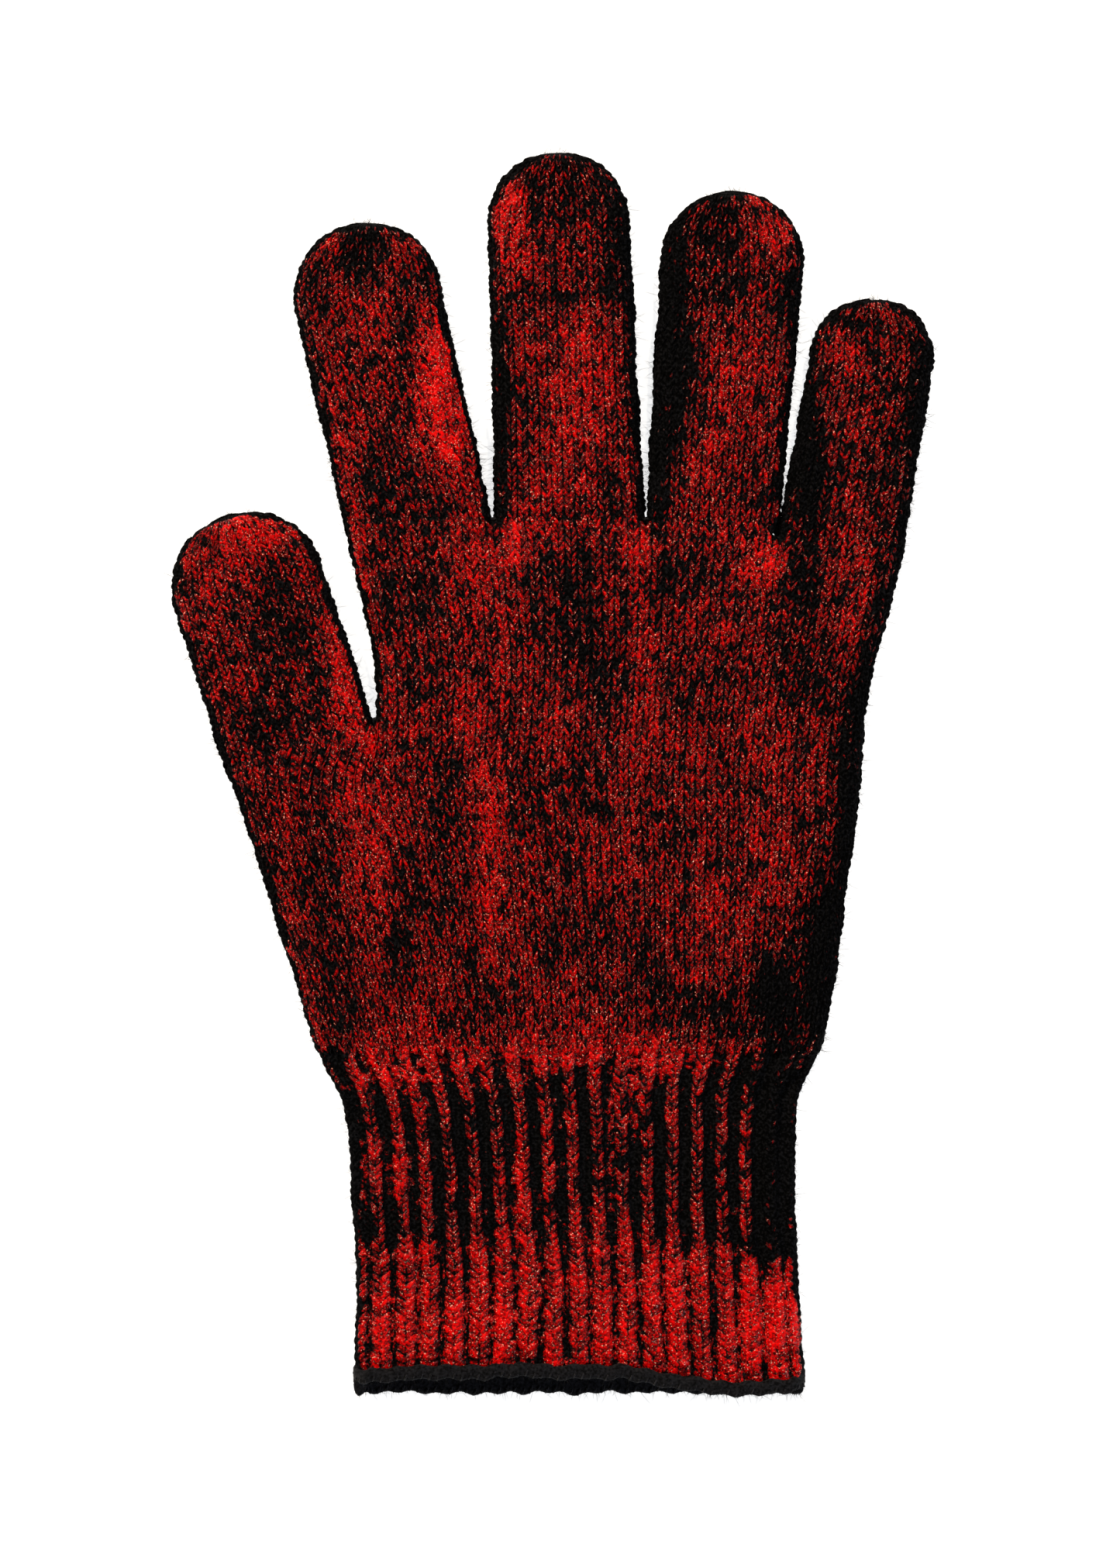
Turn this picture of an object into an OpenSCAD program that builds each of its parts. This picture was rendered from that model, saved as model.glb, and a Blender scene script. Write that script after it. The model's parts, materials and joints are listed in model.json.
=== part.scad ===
// Knitted five-finger glove with a ribbed cuff, lying flat with its palm side up.
// Origin: middle of the footprint, on the surface the glove lies on.
// +Y towards the fingertips, -X towards the thumb, +Z up.

/* [Fabric] */
// Thickness of the whole glove as it lies, both layers and the air between them
glove_h = 8.5; // [8:0.5:10]
// Thickness of one layer of plain knit
wall = 1.4; // [1.1:0.1:1.6]
// Extra thickness of the hem at the mouth of the cuff
hem_extra = 0.7; // [0.4:0.1:1]

/* [Fingers] */
// Middle of each finger at its base, across the glove: index, middle, ring, little
finger_base_x = [-24.2, 3.3, 29.1, 52.2]; // [-30:0.1:60]
// Flat width of each finger at its base
finger_base_w = [26.2, 26.0, 23.9, 22.7]; // [18:0.1:28]
// Middle of each fingertip's round end, across the glove
finger_tip_x = [-33.2, 1.3, 32.6, 57.8]; // [-40:0.1:62]
// Middle of each fingertip's round end, along the glove
finger_tip_y = [86.9, 99.8, 92.8, 75.0]; // [70:0.1:110]
// Radius of each fingertip's round end
finger_tip_r = [12.9, 12.7, 12.6, 11.0]; // [9:0.1:14]

/* [Thumb] */
// Angle of the thumb away from the fingers
thumb_tilt = 17.8; // [10:0.1:25]
// Flat width of the thumb at its base
thumb_w = 27.8; // [22:0.1:30]
// Middle of the thumb tip's round end
thumb_tip = [-55.2, 34.6]; // [-60:0.1:60]
// Radius of the thumb tip's round end
thumb_tip_r = 13.6; // [10:0.1:15]

/* [Hand] */
// Bottom of the notch between thumb and index finger
thumb_crotch = [-31.7, 10.6]; // [-40:0.1:20]
// Height of the fold line at the base of the index, middle and ring fingers
knuckle_y = 46.7; // [40:0.1:52]
// Height of the fold line at the base of the little finger
little_knuckle_y = 43.2; // [38:0.1:50]
// Height of the line where the plain knit of the hand turns into rib
wrist_y = -50.5; // [-56:0.5:-46]
// Left and right sides of the hand, carried up to 8 mm above the finger bases
palm_top_x = [-38.6, 64.4]; // [-45:0.1:70]
// Right side of the hand 6 mm below the finger bases, at the thumb and above the wrist
right_side_x = [62.6, 55.6, 53.0]; // [45:0.1:70]
// Left and right sides of the hand at the root of the thumb
root_side_x = [-60.5, 56.2]; // [-65:0.1:60]

/* [Cuff] */
// Left and right edges of the cuff where it joins the hand
cuff_top_x = [-41.9, 47.6]; // [-50:0.1:55]
// Left and right edges of the ribbed tube below the wrist
cuff_x = [-35.9, 44.6]; // [-50:0.1:55]
// Height at which the cuff has drawn in to its own width
cuff_drawn_y = -60; // [-70:0.5:-55]
// Bottom of the glove
mouth_y = -112.5; // [-120:0.5:-100]
// Depth of the hem
hem_d = 5.5; // [4:0.5:8]
// Number of elastic threads laid round the inside of the rib
elastic_count = 8; // [4:1:12]
// Diameter of an elastic thread
elastic_d = 0.8; // [0.5:0.1:1]

/* [Hidden] */
$fn = 28;
// slit between two lengths of a tube, so that they turn freely
gap = 0.5;
// where the two upper fold lines of a finger lie, as shares of its length
knuckle_share = [0.36, 0.66];
// where the thumb's upper fold line lies, as a share of its length
thumb_share = 0.48;
// radius of the glove's rounded sides
edge_r = glove_h / 2;
// radius of a closing stitch and how far it is pressed into the knit
stitch_r = 0.7;
stitch_sink = 0.25;
// depth of the whipped thread, and what the fold adds to the wall of the hem
thread_d = 1;
fold_extra = 0.2;
// how far an elastic thread is pressed into the rib, and the room left at both ends of the cuff
elastic_sink = 0.2;
elastic_room = [3, 4];
// size of the blocks that cut tubes to length
far = 200;
// how far the solid of a finger reaches below its fold line before it is cut
overrun = 8;
// heights on the hand's sides: a little below the fingers, at the thumb's root, above the wrist
palm_step = 6;
root_y = 8;
heel_y = -24;
finger_base_y = [knuckle_y, knuckle_y, knuckle_y, little_knuckle_y];
finger_top_y = [for (i = [0:3]) finger_tip_y[i] + finger_tip_r[i]];
// the thumb tip's middle in the thumb's own frame, and the thumb's length
thumb_end_x = (thumb_tip - thumb_crotch) * [cos(thumb_tilt), sin(thumb_tilt)];
thumb_end_y = (thumb_tip - thumb_crotch) * [-sin(thumb_tilt), cos(thumb_tilt)];
thumb_length = thumb_end_y + thumb_tip_r;
thumb_bend = thumb_share * thumb_length;
hem_y = mouth_y + hem_d;

// heights of a finger's three fold lines
function fold_y(i, k) =
    k == 0 ? finger_base_y[i] :
    finger_base_y[i] + knuckle_share[k - 1] * (finger_top_y[i] - finger_base_y[i]);

// ball whose poles reach its full radius, so that pads are exactly as thick as the glove
module ball(r) {
    rotate_extrude() intersection() {
        circle(r);
        translate([0, -r]) square([r, 2 * r]);
    }
}

// closed flat pad with round edges: points are the middles of its rounded edge
module pad(points, inset = 0) {
    hull()
        for (p = points)
            translate([p[0], p[1], edge_r]) ball(edge_r - inset);
}

// flat round end of a finger, with the same round edge
module round_end(centre, radius, inset) {
    translate([centre[0], centre[1], edge_r])
        rotate_extrude() translate([radius - edge_r, 0]) circle(edge_r - inset);
}

// whole finger as a solid, reaching a little below its base line
module finger_form(i, inset) {
    half = finger_base_w[i] / 2 - edge_r;
    lean = (finger_tip_x[i] - finger_base_x[i]) / (finger_tip_y[i] - finger_base_y[i]);
    hull() {
        for (side = [-1, 1])
            translate([finger_base_x[i] - lean * overrun + side * half, finger_base_y[i] - overrun, edge_r])
                ball(edge_r - inset);
        round_end([finger_tip_x[i], finger_tip_y[i]], finger_tip_r[i], inset);
    }
}

// one length of a finger's tube between two heights
module finger_tube(i, low, high) {
    intersection() {
        difference() {
            finger_form(i, 0);
            finger_form(i, wall);
        }
        translate([-far, low + gap / 2, -1]) cube([2 * far, high - low - gap, glove_h + 2]);
    }
}

// drawn-up row of stitches that closes a fingertip from inside
module tip_seam(centre, radius, lean) {
    spread = 100;
    translate([centre[0], centre[1], edge_r]) rotate(90 - spread / 2 + lean)
        rotate_extrude(angle = spread)
            translate([radius - wall - stitch_r + stitch_sink, 0]) circle(stitch_r);
}

// moves its children from the thumb's own frame: X across it, Y along it, from the thumb's crotch
module at_thumb() {
    translate([thumb_crotch[0], thumb_crotch[1], 0]) rotate(thumb_tilt) children();
}

// whole thumb as a solid, a little clear of the palm's side
module thumb_form(inset) {
    side_gap = 0.3;
    hull() {
        for (x = [-side_gap - edge_r, -thumb_w + edge_r])
            translate([x, -overrun, edge_r]) ball(edge_r - inset);
        round_end([thumb_end_x, thumb_end_y], thumb_tip_r, inset);
    }
}

// one length of the thumb's tube between two heights
module thumb_tube(low, high) {
    at_thumb() intersection() {
        difference() {
            thumb_form(0);
            thumb_form(wall);
        }
        translate([-far / 2, low + gap / 2, -1]) cube([far, high - low - gap, glove_h + 2]);
    }
}

// upper half of the hand, under the four fingers
module palm_form(inset) {
    palm_foot = 20;
    pad([
        [thumb_crotch[0] + edge_r, thumb_crotch[1] - palm_foot],
        [palm_top_x[0] + edge_r, knuckle_y + overrun],
        [palm_top_x[1] - edge_r, knuckle_y + overrun],
        [right_side_x[0] - edge_r, knuckle_y - palm_step],
        [right_side_x[1] - edge_r, root_y - palm_step],
        [thumb_crotch[0] + 3 * palm_foot, -palm_foot]
    ], inset);
}

// lower half of the hand, with the root of the thumb
module heel_form(inset) {
    overlap = 2;
    pad([
        [root_side_x[0] + edge_r, root_y],
        [thumb_crotch[0] + edge_r, thumb_crotch[1] + 1],
        [root_side_x[1] - edge_r, root_y],
        [right_side_x[2] - edge_r, heel_y],
        [cuff_top_x[1] - edge_r, wrist_y - overlap],
        [cuff_top_x[0] + edge_r, wrist_y - overlap]
    ], inset);
}

module hand_tube() {
    color("#7d1714") difference() {
        union() {
            palm_form(0);
            heel_form(0);
        }
        palm_form(wall);
        heel_form(wall);
        translate([-far, knuckle_y - gap / 2, -1]) cube([2 * far, far, glove_h + 2]);
        translate([(finger_base_x[2] + finger_base_x[3]) / 2, little_knuckle_y - gap / 2, -1])
            cube([far, far, glove_h + 2]);
        translate([-far, wrist_y + gap / 2 - far, -1]) cube([2 * far, far, glove_h + 2]);
        at_thumb() translate([-far, -gap / 2, -1]) cube([far, far, glove_h + 2]);
    }
}

// bar tacks that close the small holes between the bases of the fingers
module crotch_stitches() {
    tack_l = 4;
    tack_drop = 2.2;
    thumb_tack = [2.4, -2.6];
    bars = [
        for (i = [0:2]) [
            (finger_base_x[i] + finger_base_w[i] / 2 + finger_base_x[i + 1] - finger_base_w[i + 1] / 2) / 2,
            min(finger_base_y[i], finger_base_y[i + 1]) - tack_drop
        ],
        thumb_crotch + thumb_tack
    ];
    color("#15110f")
        for (b = bars)
            translate([b[0] - tack_l / 2, b[1], glove_h - wall - stitch_r + stitch_sink])
                rotate([0, 90, 0]) cylinder(r = stitch_r, h = tack_l, $fn = 20);
}

// the ribbed tube as a solid: drawn in below the wrist, then straight
module cuff_form(inset) {
    overlap = 2;
    union() {
        hull() {
            for (x = [cuff_top_x[0] + edge_r, cuff_top_x[1] - edge_r])
                translate([x, wrist_y + overlap, edge_r]) ball(edge_r - inset);
            for (x = [cuff_x[0] + edge_r, cuff_x[1] - edge_r])
                translate([x, cuff_drawn_y, edge_r]) ball(edge_r - inset);
        }
        hull()
            for (x = [cuff_x[0] + edge_r, cuff_x[1] - edge_r], y = [cuff_drawn_y, mouth_y - overrun])
                translate([x, y, edge_r]) ball(edge_r - inset);
    }
}

module cuff_rib() {
    color("#701411") intersection() {
        difference() {
            cuff_form(0);
            cuff_form(wall);
        }
        translate([-far, hem_y, -1]) cube([2 * far, wrist_y - gap / 2 - hem_y, glove_h + 2]);
    }
}

// flat tube of stadium section between two heights: walls stand out and in by the given amounts
module band(low, high, out, thick) {
    r = edge_r + out;
    middle_z = edge_r + hem_extra / 2;
    translate([0, high, middle_z]) rotate([90, 0, 0]) linear_extrude(high - low) difference() {
        band_outline(r);
        band_outline(r - thick);
    }
}

// stadium with the cuff's width
module band_outline(r) {
    left = cuff_x[0] + edge_r;
    right = cuff_x[1] - edge_r;
    translate([left, 0]) circle(r);
    translate([right, 0]) circle(r);
    translate([left, -r]) square([right - left, 2 * r]);
}

// doubled edge of the cuff, a little thicker than the rib
module cuff_hem() {
    color("#141110") band(mouth_y + thread_d, hem_y, hem_extra / 2, wall + fold_extra);
}

// thread whipped over the raw edge, as one flat ring
module overlock_thread() {
    color("#1c1817") band(mouth_y, mouth_y + thread_d, hem_extra / 2, wall + fold_extra);
}

// one loop of elastic, lying against the inside of the rib
module elastic_loop(y) {
    left = cuff_x[0] + edge_r;
    right = cuff_x[1] - edge_r;
    reach = edge_r - wall - elastic_d / 2 + elastic_sink;
    for (side = [0, 1])
        translate([side == 0 ? left : right, y, edge_r]) rotate([90, 0, 0])
            rotate(side == 0 ? 90 : -90)
                rotate_extrude(angle = 180) translate([reach, 0]) circle(d = elastic_d, $fn = 16);
    for (z = [edge_r - reach, edge_r + reach])
        translate([left, y, z]) rotate([0, 90, 0])
            cylinder(d = elastic_d, h = right - left, $fn = 16);
}

module elastic_threads() {
    top = cuff_drawn_y - elastic_room[0];
    step = (top - hem_y - elastic_room[1]) / (elastic_count - 1);
    color("#2b2726")
        for (k = [0:elastic_count - 1])
            elastic_loop(top - k * step);
}

// k-th length of finger i, counted from the hand
module finger_part(i, k) {
    top = k == 2 ? finger_top_y[i] + gap : fold_y(i, k + 1);
    color("#86201b") finger_tube(i, fold_y(i, k), top);
}

module finger_seam(i) {
    lean = atan2(finger_base_x[i] - finger_tip_x[i], finger_tip_y[i] - finger_base_y[i]);
    color("#15110f") tip_seam([finger_tip_x[i], finger_tip_y[i]], finger_tip_r[i], lean);
}

module thumb_seam() {
    color("#15110f") at_thumb() tip_seam([thumb_end_x, thumb_end_y], thumb_tip_r, 0);
}

hand_tube();
cuff_rib();
cuff_hem();
overlock_thread();
elastic_threads();
crotch_stitches();
finger_part(0, 0);  // index_proximal
finger_part(0, 1);  // index_middle
finger_part(0, 2);  // index_end
finger_seam(0);  // index_tip_seam
finger_part(1, 0);  // middle_proximal
finger_part(1, 1);  // middle_middle
finger_part(1, 2);  // middle_end
finger_seam(1);  // middle_tip_seam
finger_part(2, 0);  // ring_proximal
finger_part(2, 1);  // ring_middle
finger_part(2, 2);  // ring_end
finger_seam(2);  // ring_tip_seam
finger_part(3, 0);  // little_proximal
finger_part(3, 1);  // little_middle
finger_part(3, 2);  // little_end
finger_seam(3);  // little_tip_seam
thumb_tube(0, thumb_bend);  // thumb_base
thumb_tube(thumb_bend, thumb_length + gap);  // thumb_end
thumb_seam();  // thumb_tip_seam
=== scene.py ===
import json

import bpy
import numpy as np
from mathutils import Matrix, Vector


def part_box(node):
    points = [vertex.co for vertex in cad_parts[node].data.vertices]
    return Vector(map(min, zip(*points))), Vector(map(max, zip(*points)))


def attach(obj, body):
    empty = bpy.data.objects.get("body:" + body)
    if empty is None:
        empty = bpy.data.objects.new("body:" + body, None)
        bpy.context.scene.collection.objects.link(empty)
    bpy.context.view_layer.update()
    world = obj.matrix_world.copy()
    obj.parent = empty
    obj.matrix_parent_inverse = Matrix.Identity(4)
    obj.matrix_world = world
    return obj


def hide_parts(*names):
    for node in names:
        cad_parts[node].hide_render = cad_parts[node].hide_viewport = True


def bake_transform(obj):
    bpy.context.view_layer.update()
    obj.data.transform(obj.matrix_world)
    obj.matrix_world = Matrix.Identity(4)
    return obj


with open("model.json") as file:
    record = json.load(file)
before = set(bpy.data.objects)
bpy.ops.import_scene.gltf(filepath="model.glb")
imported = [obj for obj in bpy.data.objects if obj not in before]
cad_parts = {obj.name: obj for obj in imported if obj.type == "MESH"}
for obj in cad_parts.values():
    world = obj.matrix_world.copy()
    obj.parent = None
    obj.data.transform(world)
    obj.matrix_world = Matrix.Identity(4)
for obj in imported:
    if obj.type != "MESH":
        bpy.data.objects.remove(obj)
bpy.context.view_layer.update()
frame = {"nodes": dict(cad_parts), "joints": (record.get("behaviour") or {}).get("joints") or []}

print("frame loaded:", len(frame["nodes"]), "nodes")

mm = 0.001

# places taken from the frame, in millimetres
joints = {j["name"]: np.array(j["pos_m"]) / mm for j in frame["joints"]}
handBox = [np.array(c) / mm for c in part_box("hand_tube")]
mouthBox = [np.array(c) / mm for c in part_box("overlock_thread")]
gloveThick = handBox[1][2]
wristY = joints["wrist_fold"][1]
knuckleY = joints["index_knuckle"][1]
littleKnuckleY = joints["little_knuckle"][1]

cameraSet = dict(lens=100.0, sensor=36.0, frameHeight=281.4, middle=(1.5, -1.5))


def addCamera():
    # distance = lens * height of the frame / sensor, straight above the glove
    distance = cameraSet["lens"] * cameraSet["frameHeight"] / cameraSet["sensor"]
    data = bpy.data.cameras.new("topCamera")
    data.lens = cameraSet["lens"]
    data.sensor_fit = "VERTICAL"
    data.sensor_height = cameraSet["sensor"]
    data.clip_start, data.clip_end = 0.05, 10
    camera = bpy.data.objects.new("topCamera", data)
    x, y = cameraSet["middle"]
    camera.location = (x * mm, y * mm, (distance + gloveThick) * mm)
    bpy.context.scene.collection.objects.link(camera)
    bpy.context.scene.camera = camera


addCamera()
print("camera placed")

# the knit's own measures, in millimetres unless a note says otherwise
knit = dict(
    rise=1.1,          # courses that a leg of the V climbs from the middle of its column to the edge
    relief=0.62,       # height of a stitch above the gaps between stitches
    layer=1.05,        # thickness of one layer under the stitches
    floorGap=0.12,     # the lowest stitches stop this far above the floor
    edgeRadius=3.5,    # rounding of the glove's sides
    slack=0.3,         # depth of the broad waves in the upper face
)

fingerShapes = {
    "index": dict(baseHalf=13.55, tipHalf=13.4, tipLength=14.2, wales=15, course=1.24, lean=1.02),
    "middle": dict(baseHalf=13.4, tipHalf=12.75, tipLength=12.9, wales=15, course=1.27, lean=1.0),
    "ring": dict(baseHalf=12.05, tipHalf=12.9, tipLength=13.1, wales=15, course=1.36, lean=1.0),
    "little": dict(baseHalf=11.55, tipHalf=11.3, tipLength=11.5, wales=13, course=1.3, lean=1.0),
}
thumbShape = dict(half=13.95, middle=-14.75, tipLength=14.2, tipRise=43.0, wales=15, course=1.16)
# left and right sides of the hand and cuff: height, place across
handLeft = [(1.9, -58.7), (-6.8, -55.8), (-15.2, -52.9), (-27.7, -49.2), (-36, -46.5), (-44.4, -44.1),
            (-48.5, -42.8), (-52.7, -41.0), (-56.9, -38.5), (-61, -37.3), (-65.5, -36.6), (-78, -35.9),
            (-90, -35.1), (-99, -35.4), (-113, -35.8)]
handRight = [(43.3, 64.2), (39, 63.1), (30.7, 61.1), (18.2, 57.8), (9.9, 56.4), (-2.6, 55.4), (-11, 54.6),
             (-19.3, 53.3), (-27.7, 52.4), (-36, 51.2), (-44.4, 49.6), (-48.5, 48.5), (-52.7, 46.8),
             (-56.9, 44.9), (-61, 44.4), (-69.4, 44.0), (-86, 44.3), (-98.6, 44.9), (-113, 45.9)]
palmLeft = [(47.4, -37.6), (39, -36.0), (30.7, -34.1), (22.4, -32.3), (14, -31.6), (10.6, -31.7)]


def throughPoints(points, y):
    # smooth curve x(y) through a few points: cubic with the slopes of its neighbours' chords
    p = np.array(sorted(points), float)
    py, px = p[:, 0], p[:, 1]
    slope = np.gradient(px, py)
    y = np.clip(y, py[0], py[-1])
    k = np.clip(np.searchsorted(py, y, side="right") - 1, 0, len(py) - 2)
    span = py[k + 1] - py[k]
    t = (y - py[k]) / span
    return ((2 * t**3 - 3 * t**2 + 1) * px[k] + (t**3 - 2 * t**2 + t) * span * slope[k]
            + (3 * t**2 - 2 * t**3) * px[k + 1] + (t**3 - t**2) * span * slope[k + 1])


def smooth(low, high, value):
    # 0 below low, 1 above high, 3t^2 - 2t^3 between
    t = np.clip((value - low) / (high - low), 0, 1)
    return t * t * (3 - 2 * t)


def fingerFrame(name):
    # base, bends and top of a finger, and its middle line through the joints
    base = joints[name + "_knuckle"]
    end = joints[name + "_end_joint"]
    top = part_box(name + "_end")[1][1] / mm + 0.2
    return base, end, top


def fingerMiddle(name, y):
    # straight line through the base and end joints, which stops leaning in the round of the tip
    base, end, top = fingerFrame(name)
    stop = top - fingerShapes[name]["tipLength"]
    lean = (end[0] - base[0]) / (end[1] - base[1])
    return base[0] + lean * (np.minimum(y, stop) - base[1]) * fingerShapes[name]["lean"]


def fingerHalf(name, y):
    # half width: a straight taper, then an ellipse sqrt(1 - t^2) over the length of the tip
    shape = fingerShapes[name]
    base, end, top = fingerFrame(name)
    stop = top - shape["tipLength"]
    along = np.clip((y - base[1]) / (stop - base[1]), -1, 1)
    side = shape["baseHalf"] + (shape["tipHalf"] - shape["baseHalf"]) * along
    t = np.clip((y - stop) / shape["tipLength"], 0, 1)
    return side * np.sqrt(np.maximum(1 - t * t, 0))


# the thumb has its own frame: x across it from the notch beside it, y along it
rootAxis = np.array([j["axis"] for j in frame["joints"] if j["name"] == "thumb_root"][0][:2])
rootJoint = joints["thumb_root"]
thumbTilt = np.arctan2(rootAxis[1], rootAxis[0])
thumbNotch = rootJoint[:2] + 14.0 * rootAxis


def fromThumb(x, y):
    # turn by the thumb's tilt and move to its notch
    c, s = np.cos(thumbTilt), np.sin(thumbTilt)
    return thumbNotch[0] + c * x - s * y, thumbNotch[1] + s * x + c * y


def thumbHalf(y):
    # half width of the thumb: even, then an ellipse over the length of the tip
    t = np.clip((y - (thumbShape["tipRise"] - thumbShape["tipLength"])) / thumbShape["tipLength"], 0, 1)
    return thumbShape["half"] * np.sqrt(np.maximum(1 - t * t, 0))


def roundTo(low, high, count):
    # heights that crowd towards the high end, so that a round tip is drawn evenly
    return low + (high - low) * np.sin(np.linspace(0, np.pi / 2, count))


def makeOutline():
    # the closed outline, from the mouth's left corner up the left side and round every tip
    mouthY = mouthBox[0][1]
    parts = []
    y = np.linspace(mouthY, 1.9, 60)
    parts.append(np.stack([throughPoints(handLeft, y), y], 1))
    y = np.concatenate([np.linspace(0.5, 28, 14), roundTo(29, thumbShape["tipRise"], 22)])
    parts.append(np.stack(fromThumb(thumbShape["middle"] - thumbHalf(y), y), 1))
    parts.append(np.stack(fromThumb(thumbShape["middle"] + thumbHalf(y[::-1]), y[::-1]), 1)[:-2])
    parts.append(thumbNotch[None, :] + np.array([[0.05, 0.0]]))
    y = np.linspace(11.5, knuckleY, 24)
    parts.append(np.stack([throughPoints(palmLeft, y), y], 1))
    for name in fingerShapes:
        base, end, top = fingerFrame(name)
        stop = top - fingerShapes[name]["tipLength"]
        y = np.concatenate([np.linspace(base[1] + 0.3, stop, 16), roundTo(stop, top, 24)[1:]])
        middle, half = fingerMiddle(name, y), fingerHalf(name, y)
        parts.append(np.stack([middle - half, y], 1))
        parts.append(np.stack([middle + half, y], 1)[::-1][1:])
    y = np.linspace(littleKnuckleY, mouthY, 90)
    parts.append(np.stack([throughPoints(handRight, y), y], 1))
    return np.concatenate(parts)


outline = makeOutline()


def segmentDistance(p):
    # distance to the nearest outline segment, 0 outside, and the unit direction towards it
    a, b = outline, np.roll(outline, -1, 0)
    ab = b - a
    long2 = np.maximum((ab**2).sum(1), 1e-9)
    faceOut = np.stack([-ab[:, 1], ab[:, 0]], 1) / np.sqrt(long2)[:, None]
    distance = np.empty(len(p))
    towards = np.empty((len(p), 2))
    for start in range(0, len(p), 8000):
        q = p[start:start + 8000]
        t = np.clip(((q[:, None, :] - a) * ab).sum(2) / long2, 0, 1)
        away = a + t[..., None] * ab - q[:, None, :]
        far = (away**2).sum(2)
        best = far.argmin(1)
        rows = np.arange(len(q))
        d = np.sqrt(far[rows, best])
        atEnd = t[rows, best]
        other = np.where(atEnd <= 0, best - 1, np.where(atEnd >= 1, (best + 1) % len(a), best))
        normal = (faceOut[best] + faceOut[other]) / 2
        normal /= np.maximum(np.linalg.norm(normal, axis=1), 1e-6)[:, None]
        direction = away[rows, best] / np.maximum(d, 1e-9)[:, None]
        beyond = (direction * normal).sum(1) < 0
        towards[start:start + 8000] = np.where((beyond | (d < 0.03))[:, None], normal, direction)
        distance[start:start + 8000] = np.where(beyond, 0, d)
    return distance, towards


def edgeDistance(x, y):
    # exact near the outline; deep inside, the distance of the nearest millimetre will do
    fromLeft = np.clip(np.round(x).astype(int) + 80, 0, 159)
    fromFoot = np.clip(np.round(y).astype(int) + 120, 0, 239)
    distance, towards = roughDistance[fromLeft, fromFoot], roughTowards[fromLeft, fromFoot]
    near = distance < 6
    distance[near], towards[near] = segmentDistance(np.stack([x[near], y[near]], 1))
    return distance, towards


across, upwards = np.meshgrid(np.arange(160) - 80.0, np.arange(240) - 120.0, indexing="ij")
roughDistance, roughTowards = segmentDistance(np.stack([across.ravel(), upwards.ravel()], 1))
roughDistance, roughTowards = roughDistance.reshape(160, 240), roughTowards.reshape(160, 240, 2)


def arcSpread(share, left, right):
    # places across a flat tube whose sides are half circles, evenly spaced along its skin
    r = knit["edgeRadius"]
    half = (right - left) / 2
    quarter = r * np.pi / 2
    skin = np.where(half > r, 2 * quarter + 2 * (half - r), 1.0)
    q = share * skin
    fromEnd = np.minimum(q, skin - q)
    inward = np.where(fromEnd < quarter, r * (1 - np.cos(np.clip(fromEnd / r, 0, np.pi / 2))),
                      r + fromEnd - quarter)
    wide = np.where(q < skin / 2, left + inward, right - inward)
    narrow = (left + right) / 2 - half * np.cos(np.pi * share)
    return np.where(half > r, wide, narrow)


def lattice(count, step, seed):
    # smooth random field on the plane: random values on a lattice, blended between by 3t^2 - 2t^3
    values = np.random.default_rng(seed).uniform(-1, 1, (count, count))

    def at(x, y):
        u, v = x / step + count / 2, y / step + count / 2
        i, j = np.floor(u).astype(int) % count, np.floor(v).astype(int) % count
        fu, fv = u - np.floor(u), v - np.floor(v)
        fu, fv = fu * fu * (3 - 2 * fu), fv * fv * (3 - 2 * fv)
        i2, j2 = (i + 1) % count, (j + 1) % count
        return ((values[i, j] * (1 - fu) + values[i2, j] * fu) * (1 - fv)
                + (values[i, j2] * (1 - fu) + values[i2, j2] * fu) * fv)
    return at


sway = [lattice(128, 6.0, 11), lattice(128, 6.0, 12), lattice(160, 2.2, 13), lattice(160, 2.2, 14)]
loft = [lattice(64, 22.0, 15), lattice(160, 3.0, 16)]
crust = [lattice(256, 1.1, 17), lattice(512, 0.55, 18)]

print("outline drawn:", len(outline), "points")


# a column of plain knit is eight strips wide and a course is five strips high: where the strips lie,
# how far each is from the middle of its column, and how high the yarn stands there
strips = np.array([0, 0.1, 0.25, 0.4, 0.5, 0.6, 0.75, 0.9])
levels = np.array([0, 0.14, 0.36, 0.64, 0.86])


def plainColumns(wales, first=0):
    # places of the grid's columns, counted in columns of stitches from the left
    u = (np.arange(first, first + wales)[:, None] + strips[None, :]).ravel()
    return np.append(u, first + wales)


def courseRows(first, last):
    # places of the grid's rows, counted in courses
    v = (np.arange(first, last)[:, None] + levels[None, :]).ravel()
    return np.append(v, last)


def legPlace(u):
    # 0 in the middle of a column of stitches, 1 in the gap between two columns
    return np.abs(2 * (u - np.floor(u)) - 1)


def stitchHeight(u, v):
    # height of the yarn, 0 to 1: a round back across each leg, sin(pi t)^0.7, under an envelope along it
    a = legPlace(u)
    t = v - np.floor(v)
    across = np.sin(np.pi * t) ** 0.7
    along = np.interp(a, [0, 0.2, 0.5, 0.8, 1], [0.25, 0.84, 1, 0.66, 0.0])
    return along * (0.22 + 0.78 * across)


def stitchChance(u, v, seed):
    # one random number for each leg of each stitch
    table = np.random.default_rng(seed).uniform(-1, 1, (97, 257))
    return table[np.floor(v + 1e-6).astype(int) % 97, np.floor(2 * u + 1e-6).astype(int) % 257]


def layLoose(x, y, amount=1.0):
    # knit never lies quite true: every point is swayed a little in the plane
    dx = 0.22 * sway[0](x, y) + 0.09 * sway[2](x, y)
    dy = 0.22 * sway[1](x, y) + 0.09 * sway[3](x, y)
    return x + amount * dx, y + amount * dy


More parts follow.
